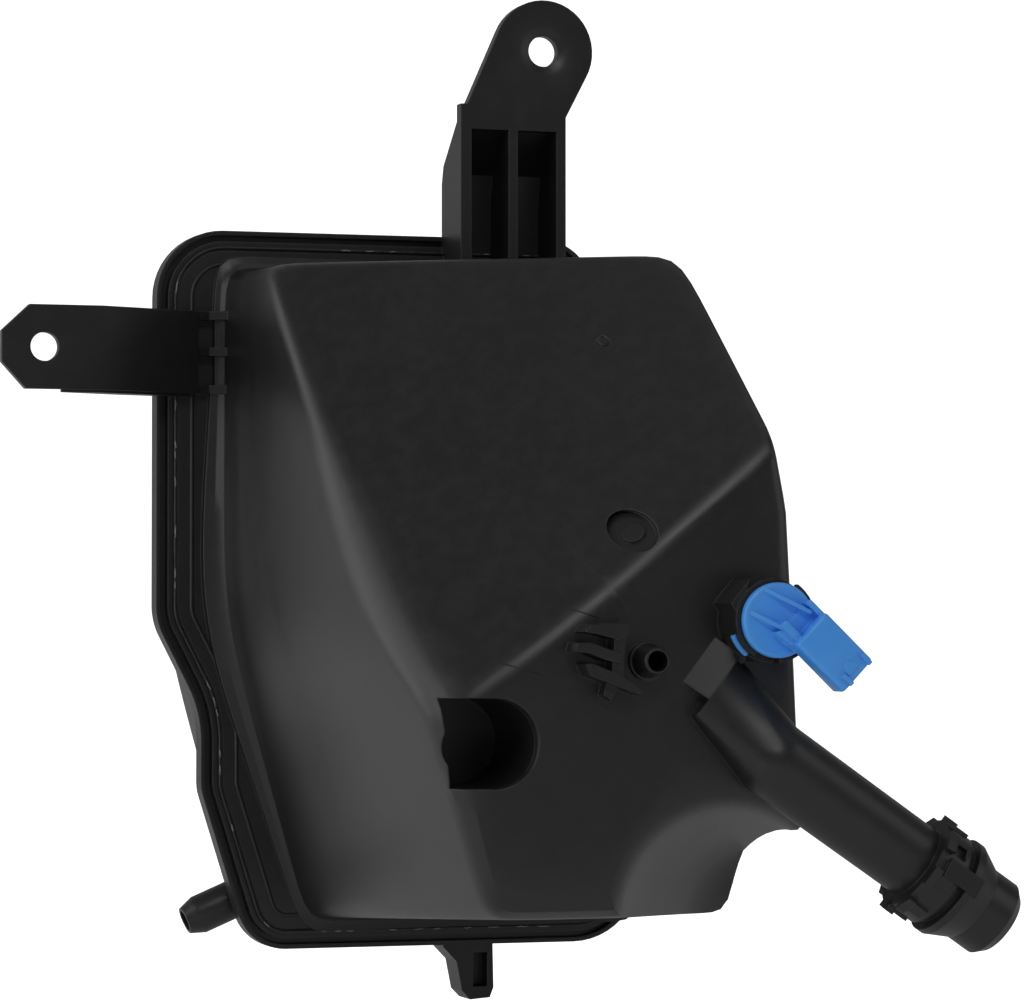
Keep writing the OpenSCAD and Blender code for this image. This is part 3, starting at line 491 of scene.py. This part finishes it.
def buildSensor(settings):
    points, faces = [], []
    centreX, centreZ = settings["centre"]
    turn = math.radians(settings["plugTurn"])

    def toWorld(x, y, z):
        return ((centreX + x) / 1000, (settings["front"] - z) / 1000, (centreZ + y) / 1000)

    def onPlug(x, y, z):
        placeX, placeY, placeZ = settings["plugPlace"]
        c, s = math.cos(turn), math.sin(turn)
        return toWorld(placeX + c * x - s * y, placeY + s * x + c * y, placeZ + z)

    def prism(outline, low, high, place):
        addShell(points, faces, [[place(a, b, h) for a, b in outline] for h in (low, high)])

    def block(x0, x1, y0, y1, z0, z1):
        prism([(x0, y0), (x1, y0), (x1, y1), (x0, y1)], z0, z1, onPlug)

    def roundBox(x, halfY, halfZ, radius):
        midY, midZ = settings["plugMiddle"]
        ring = []
        for sideY, sideZ, start in ((1, 1, 0), (-1, 1, 90), (-1, -1, 180), (1, -1, 270)):
            for step in range(settings["cornerSteps"] + 1):
                a = math.radians(start + 90 * step / settings["cornerSteps"])
                ring.append(onPlug(x, midY + sideY * (halfY - radius) + radius * math.cos(a),
                                   midZ + sideZ * (halfZ - radius) + radius * math.sin(a)))
        return ring

    # head, seat of the ring and stem in one turned form, hollow for the switch
    head, fit, groove = settings["headRadius"], settings["fitRadius"], settings["grooveRadius"]
    stem, bore = settings["stemRadius"], settings["switchBore"]
    fitStart, fitEnd = settings["fit"]
    grooveStart, grooveEnd = settings["groove"]
    profile = [(bore, settings["boreEnd"]), (bore, settings["stemEnd"]), (stem, settings["stemEnd"]),
               (stem, fitStart), (fit, fitStart), (fit, grooveStart), (groove, grooveStart),
               (groove, grooveEnd), (fit, grooveEnd), (fit, fitEnd)]
    profile += [(head - inset, height) for inset, height in settings["headEdge"]]
    profile.append(settings["headMiddle"])
    addShell(points, faces, [[toWorld(radius * math.cos(a), radius * math.sin(a), height)
                              for a in anglesRound(settings["sides"])] for radius, height in profile])

    # bayonet lugs
    inner, outer = settings["lugRadii"]
    lugStart, lugSweep = settings["lugSweep"]
    for middle in settings["lugAngles"]:
        angles = [math.radians(middle + lugStart + lugSweep * i / 8) for i in range(9)]
        outline = [(outer * math.cos(a), outer * math.sin(a)) for a in angles]
        outline += [(inner * math.cos(a), inner * math.sin(a)) for a in reversed(angles)]
        prism(outline, *settings["lugHeights"], toWorld)

    # fork round the float's pin
    pivot, forkRadius, forkTop = settings["pivot"], settings["forkRadius"], settings["forkTop"]
    lowerHalf = [math.radians(-10 * i) for i in range(19)]
    outline = [(-forkRadius, forkTop), (forkRadius, forkTop)]
    outline += [(forkRadius * math.cos(a), pivot + forkRadius * math.sin(a)) for a in lowerHalf]
    for x in settings["forkStarts"]:
        prism(outline, x, x + settings["forkThick"], lambda y, z, x: toWorld(x, y, z))

    # two ribs that rise from the head towards the plug, and the gusset between them
    lean = math.radians(settings["ribLean"])
    along = (math.cos(lean), math.sin(lean))
    side = (-along[1] * settings["ribHalf"], along[0] * settings["ribHalf"])
    foot = settings["ribFoot"]
    swellAt, swell = settings["ribSwell"]
    for startX, startY, length, low, high in settings["ribs"]:
        rings = []
        for distance, top in ((0, low), (length * swellAt, (low + high) / 2 + swell), (length, high)):
            x, y = startX + along[0] * distance, startY + along[1] * distance
            left, right = (x + side[0], y + side[1]), (x - side[0], y - side[1])
            rings.append([toWorld(*left, foot), toWorld(*right, foot),
                          toWorld(*right, top), toWorld(*left, top)])
        addShell(points, faces, rings)
    prism(settings["gusset"], foot, settings["gussetTop"], toWorld)
    for bar in settings["bars"]:
        block(*bar)

    # plug body with its socket
    start, end = settings["plugEnds"]
    halfY, halfZ = settings["plugHalf"]
    inY, inZ = settings["socketHalf"]
    rings = [roundBox(start + x, halfY - inset, halfZ - inset, r) for x, inset, r in settings["plugBack"]]
    rings += [roundBox(end - x, halfY - inset, halfZ - inset, r) for x, inset, r in settings["plugFront"]]
    rings += [roundBox(end - x, inY + inset, inZ + inset, r) for x, inset, r in settings["socketLip"]]
    rings.append(roundBox(settings["socketFloor"], inY, inZ, settings["socketLip"][-1][2]))
    addShell(points, faces, rings)

    # latch: two cheeks and a half-round stop on top of the plug
    behind, ahead = settings["cheekReach"]
    for y in settings["cheeks"]:
        block(end - behind, end + ahead, y, y + settings["cheekWidth"], *settings["cheekHeights"])
    middleY = settings["plugMiddle"][0]
    radius = settings["stopRadius"]
    centre, flat = (end - distance for distance in settings["stopPlace"])
    arc = [math.radians(90 + 180 * i / 10) for i in range(11)]
    outline = [(centre + radius * math.cos(a), middleY + radius * math.sin(a)) for a in arc]
    outline += [(flat, middleY - radius), (flat, middleY + radius)]
    prism(outline, *settings["stopHeights"], onPlug)
    return addPiece("sensorMoulding", points, faces, "sensorBlue", "sensor",
                    settings["edgeRadius"])


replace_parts(buildSensor(levelSensor), "sensor_housing")
print("level sensor built")

weldFlange = {
    # corner x, corner z and corner radius in millimetres, round the flange
    "corners": [(-136.7, -65.8, 24), (-136.7, -205, 24), (-120.3, -237, 44), (-120.3, -264.5, 18),
                (-102.5, -321.5, 18), (45, -321.5, 26), (45, -185, 70), (23.5, -65.8, 19)],
    "cornerSteps": 12,
    "spacing": 0.9,
}


def flangePath(settings, inset):
    # evenly spaced points of the rounded outline, moved inward
    corners = settings["corners"]
    count = len(corners)
    steps = settings["cornerSteps"]

    def direction(a, b):
        return (Vector((b[0], b[1])) - Vector((a[0], a[1]))).normalized()

    line = []
    for i in range(count):
        before, here, after = corners[i - 1], corners[i], corners[(i + 1) % count]
        u, v = direction(before, here), direction(here, after)
        turn = u.x * v.y - u.y * v.x
        inwardU, inwardV = Vector((-u.y, u.x)), Vector((-v.y, v.x))
        corner = Vector(here[:2]) + inset * (inwardU + inwardV) / (1 + inwardU.dot(inwardV))
        radius = max(here[2] - math.copysign(inset, turn), 1)
        half = math.acos(max(-1, min(1, -u.dot(v)))) / 2
        middle = corner + (v - u).normalized() * radius / math.sin(half)
        a = corner - u * radius / math.tan(half) - middle
        b = corner + v * radius / math.tan(half) - middle
        startAngle = math.atan2(a.y, a.x)
        sweep = (math.atan2(b.y, b.x) - startAngle + math.pi) % math.tau - math.pi
        for step in range(steps + 1):
            angle = startAngle + sweep * step / steps
            line.append(middle + radius * Vector((math.cos(angle), math.sin(angle))))
    spaced = []
    carry = 0.0
    for a, b in zip(line, line[1:] + line[:1]):
        length = (b - a).length
        place = carry
        while place < length:
            spaced.append(a + (b - a) * place / length)
            place += settings["spacing"]
        carry = place - length
    return spaced


weldBeads = {
    # millimetres; waves is how much the bead's size wanders, and each seed gives its own waves
    "weldBead1": {"inset": 6.3, "y": 18.6, "width": 0.55, "height": 0.5, "waves": 0.32, "seed": 0},
    "weldBead2": {"inset": 12.2, "y": 18.6, "width": 0.75, "height": 0.8, "waves": 0.1, "seed": 7},
}
beadSection = {
    "points": 6,
    "from": -20,          # degrees round the bead's back
    "sweep": 220,
    "longWaves": 0.45,    # waves a millimetre along the flange
    "shortWaves": 2,
    "shortShare": 0.4,
    "shortSeed": 3,
}


def buildWeldBeads(beads, section, flange):
    sides = section["points"]
    start, sweep = section["from"], section["sweep"]
    angles = [math.radians(start + sweep * step / (sides - 1)) for step in range(sides)]
    longWaves, shortWaves = section["longWaves"], section["shortWaves"]
    for name, bead in beads.items():
        path = flangePath(flange, bead["inset"])
        points, faces = [], []
        count = len(path)
        for i, here in enumerate(path):
            along = (path[(i + 1) % count] - path[i - 1]).normalized()
            across = Vector((-along.y, along.x))
            longWave = noise.noise((here.x * longWaves, here.y * longWaves, bead["seed"]))
            shortWave = noise.noise((here.x * shortWaves, here.y * shortWaves, section["shortSeed"]))
            size = 1 + bead["waves"] * (longWave + section["shortShare"] * shortWave)
            for a in angles:
                side = bead["width"] * size * math.cos(a)
                lift = bead["height"] * size * math.sin(a)
                points.append(((here.x + across.x * side) / 1000, (bead["y"] - lift) / 1000,
                               (here.y + across.y * side) / 1000))
        for i in range(count):
            j = (i + 1) % count
            for k in range(sides):
                m = (k + 1) % sides
                faces.append((i * sides + k, i * sides + m, j * sides + m, j * sides + k))
        addPiece(name, points, faces, "satinBlack", "tank")


flashFlecks = {
    # millimetres, with lengths and gaps in steps of the flange's path
    "inset": 6.2,
    "y": 18.1,
    "seed": 11,
    "ends": 4,            # steps kept clear where the path starts and ends
    "length": (1, 3),
    "gap": (3, 9),
    "share": 0.45,        # how many of the places have a fleck
    "size": (0.06, 0.22),     # at its ends, and added at its middle
    "shrink": (0.6, 1.0),     # random share of what is added
    "drift": 0.15,
    "sides": 6,
}


def buildWeldFlash(settings, flange):
    # short flecks of squeezed-out plastic along the groove, pale grey as a painted glint
    chooser = random.Random(settings["seed"])
    y = settings["y"]
    path = flangePath(flange, settings["inset"])
    least, swell = settings["size"]
    points, faces = [], []
    place = settings["ends"]
    while place < len(path) - settings["ends"]:
        run = chooser.randint(*settings["length"])
        if chooser.random() < settings["share"]:
            rings = []
            for k in range(run + 3):
                here, after = path[place + k - 1], path[(place + k) % len(path)]
                along = (after - here).normalized()
                across = Vector((-along.y, along.x))
                taper = math.sin(math.pi * (k + 0.5) / (run + 3))
                size = least + swell * taper * chooser.uniform(*settings["shrink"])
                drift = chooser.uniform(-settings["drift"], settings["drift"])
                rings.append([((here.x + across.x * (drift + size * math.cos(a))) / 1000,
                               (y - size * math.sin(a)) / 1000,
                               (here.y + across.y * (drift + size * math.cos(a))) / 1000)
                              for a in anglesRound(settings["sides"])])
            addShell(points, faces, rings)
        place += run + chooser.randint(*settings["gap"])
    addPiece("flashPaintedGlint", points, faces, "flashPaintedGlint", "tank")


buildWeldBeads(weldBeads, beadSection, weldFlange)
buildWeldFlash(flashFlecks, weldFlange)
print("weld beads laid")

frontFace = {
    "depth": 205.0,            # flat front face ahead of the weld plane
    "weldY": 24.0,
    "middle": (-37.0, -193.0),
    "slope": (0.74, 0.88),     # upper face, across and up
    "crease": 6.0,             # how far the soft crease reaches
    "bow": 0.0012,             # how fast the flat face falls away left of bowFrom
    "bowFrom": -20,
}


def faceDepth(settings, x, z):
    midX, midZ = settings["middle"]
    slopeX, slopeZ = settings["slope"]
    upper = settings["depth"] + slopeX * (x - midX) - slopeZ * (z - midZ)
    flat = settings["depth"] - settings["bow"] * min(x - settings["bowFrom"], 0) ** 2
    blend = max(settings["crease"] - abs(upper - flat), 0) / settings["crease"]
    return min(upper, flat) - blend * blend * settings["crease"] / 4


partingMarks = {
    # fine raised lines across the crease, from and to in x and z
    "lines": [((-50.0, -200.4), (-41.1, -203.3)), ((-73.4, -217.0), (-59.6, -221.1))],
    "size": 0.22,
    "endSize": 0.25,           # share of the size at the ends
    "width": 0.3,              # share of the size across the line
    "steps": 12,
    "sides": 8,
}


def buildPartingMarks(settings, face):
    points, faces = [], []
    steps, ends = settings["steps"], settings["endSize"]
    for start, end in settings["lines"]:
        rings = []
        for step in range(steps + 1):
            t = step / steps
            x, z = start[0] + (end[0] - start[0]) * t, start[1] + (end[1] - start[1]) * t
            size = settings["size"] * (ends + (1 - ends) * math.sin(math.pi * t) ** 0.5)
            y = face["weldY"] - faceDepth(face, x, z)
            across = size * settings["width"]
            rings.append([((x + across * math.cos(a)) / 1000, (y - size * math.sin(a)) / 1000,
                           (z + size * math.cos(a)) / 1000) for a in anglesRound(settings["sides"])])
        addShell(points, faces, rings)
    addPiece("partingMarks", points, faces, "satinBlack", "tank")


buildPartingMarks(partingMarks, frontFace)
print("parting marks laid")

valveSprings = {
    # lengths in millimetres; travel is how far the valve closes the coil
    "reliefCoil": {"node": "relief_spring", "body": "cap_insert", "joint": "relief_slide",
                   "wire": 0.8, "turns": 4, "travel": 3.0, "held": "top"},
    "vacuumCoil": {"node": "vacuum_spring", "body": "relief_valve", "joint": "vacuum_slide",
                   "wire": 0.45, "turns": 3.5, "travel": 1.2, "held": "bottom"},
}
coilSteps = {
    "turn": 32,
    "wire": 10,
    "seat": 0.9,      # end of the wire's middle line from the box, in wire radii
}


def buildSprings(springs, steps):
    # wound steel coils, each inside the box of its valve's spring
    for name, coil in springs.items():
        low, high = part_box(coil["node"])
        wire = coil["wire"] / 1000
        midX, midY = (low[0] + high[0]) / 2, (low[1] + high[1]) / 2
        radius = (high[0] - low[0]) / 2 - wire
        bottom, top = low[2] + wire * steps["seat"], high[2] - wire * steps["seat"]
        count = round(coil["turns"] * steps["turn"])
        points, faces, rings = [], [], []
        for i in range(count + 1):
            angle = math.tau * coil["turns"] * i / count
            z = bottom + (top - bottom) * i / count
            ring = []
            for around in anglesRound(steps["wire"]):
                reach = radius + wire * math.cos(around)
                ring.append((midX + reach * math.cos(angle), midY + reach * math.sin(angle),
                             z + wire * math.sin(around)))
            rings.append(ring)
        addShell(points, faces, rings)
        piece = addPiece(name, points, faces, "springSteel", coil["body"])
        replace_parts(piece, coil["node"])
        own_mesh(piece)


buildSprings(valveSprings, coilSteps)
print("valve springs wound")

paperSweep = {
    "floor": -0.36,
    "front": -4.0,
    "bendStart": 2.2,
    "bendRadius": 1.2,
    "bendSteps": 12,
    "wallTop": 5.0,
    "halfWidth": 6.0,
    "white": 0.92,
    "mottle": 0.01,
    "fibreScale": 6,
    "rough": 0.9,
    "specular": 0.1,
    "glow": 0.1,         # light that it gives the tank
    "seenGlow": 1.0,     # how bright it looks when seen directly
}


def makePaper(settings):
    paper = bpy.data.materials.new("studioPaper")
    paper.use_nodes = True
    tree = paper.node_tree
    shader = tree.nodes["Principled BSDF"]
    fibre = addNode(tree, "ShaderNodeTexNoise")
    fibre.inputs["Scale"].default_value = settings["fibreScale"]
    tone = addNode(tree, "ShaderNodeMapRange")
    tone.inputs["To Min"].default_value = settings["white"] - settings["mottle"]
    tone.inputs["To Max"].default_value = settings["white"] + settings["mottle"]
    tree.links.new(fibre.outputs["Fac"], tone.inputs["Value"])
    tree.links.new(tone.outputs["Result"], shader.inputs["Base Color"])
    shader.inputs["Roughness"].default_value = settings["rough"]
    shader.inputs["Specular IOR Level"].default_value = settings["specular"]
    shader.inputs["Emission Color"].default_value = (1, 1, 1, 1)
    # the paper looks white, but lights the tank only a little
    seen = addNode(tree, "ShaderNodeLightPath")
    strength = addNode(tree, "ShaderNodeMapRange")
    strength.inputs["To Min"].default_value = settings["glow"]
    strength.inputs["To Max"].default_value = settings["seenGlow"]
    tree.links.new(seen.outputs["Is Camera Ray"], strength.inputs["Value"])
    tree.links.new(strength.outputs["Result"], shader.inputs["Emission Strength"])
    return paper


def buildPaperSweep(settings):
    # floor that curves up into a back wall
    start, radius, steps = settings["bendStart"], settings["bendRadius"], settings["bendSteps"]
    profile = [(settings["front"], 0.0), (start, 0.0)]
    for step in range(1, steps + 1):
        bend = math.radians(90 * step / steps)
        profile.append((start + radius * math.sin(bend), radius * (1 - math.cos(bend))))
    profile.append((start + radius, settings["wallTop"]))
    points = []
    for x in (-settings["halfWidth"], settings["halfWidth"]):
        points += [(x, y, settings["floor"] + z) for y, z in profile]
    count = len(profile)
    faces = [(i, i + count, i + count + 1, i + 1) for i in range(count - 1)]
    mesh = bpy.data.meshes.new("studioSweep")
    mesh.from_pydata(points, [], faces)
    for face in mesh.polygons:
        face.use_smooth = True
    sweep = bpy.data.objects.new("studioSweep", mesh)
    bpy.context.scene.collection.objects.link(sweep)
    mesh.materials.append(makePaper(settings))


studioLights = {
    # place and aim in metres, size, power; all are white
    "leftSoftbox": ((-1.5, -0.3, 0.25), (-0.05, 0.0, -0.2), (1.3, 1.3), 7.5),
    "creaseKey": ((-0.365, -1.733, 1.024), (-0.03, -0.18, -0.19), (0.8, 0.35), 6.2),
    "topSoftbox": ((0.2, -0.3, 1.6), (-0.05, 0.0, -0.15), (1.6, 1.6), 2.6),
    "rightFill": ((1.4, -1.0, 0.2), (0, 0, -0.2), (0.9, 1.2), 2.6),
    "leftBack": ((-1.3, 0.7, 0.1), (-0.1, 0.0, -0.2), (0.6, 1.2), 3.4),
}
roomLight = {
    "colour": (0.9, 0.92, 0.95, 1),
    "strength": 0.14,
}


def hangLights(lights, room):
    for name, (place, aim, size, power) in lights.items():
        data = bpy.data.lights.new(name, "AREA")
        data.shape = "RECTANGLE"
        data.size, data.size_y = size
        data.energy = power
        light = bpy.data.objects.new(name, data)
        facing = (Vector(place) - Vector(aim)).to_track_quat("Z", "Y").to_matrix().to_4x4()
        light.matrix_world = Matrix.Translation(place) @ facing
        bpy.context.scene.collection.objects.link(light)
        light.visible_camera = False
    world = bpy.data.worlds.new("studioWorld")
    world.use_nodes = True
    background = world.node_tree.nodes["Background"]
    background.inputs["Color"].default_value = room["colour"]
    background.inputs["Strength"].default_value = room["strength"]
    bpy.context.scene.world = world
    bpy.context.scene.view_settings.view_transform = "Standard"


buildPaperSweep(paperSweep)
hangLights(studioLights, roomLight)
print("studio ready")
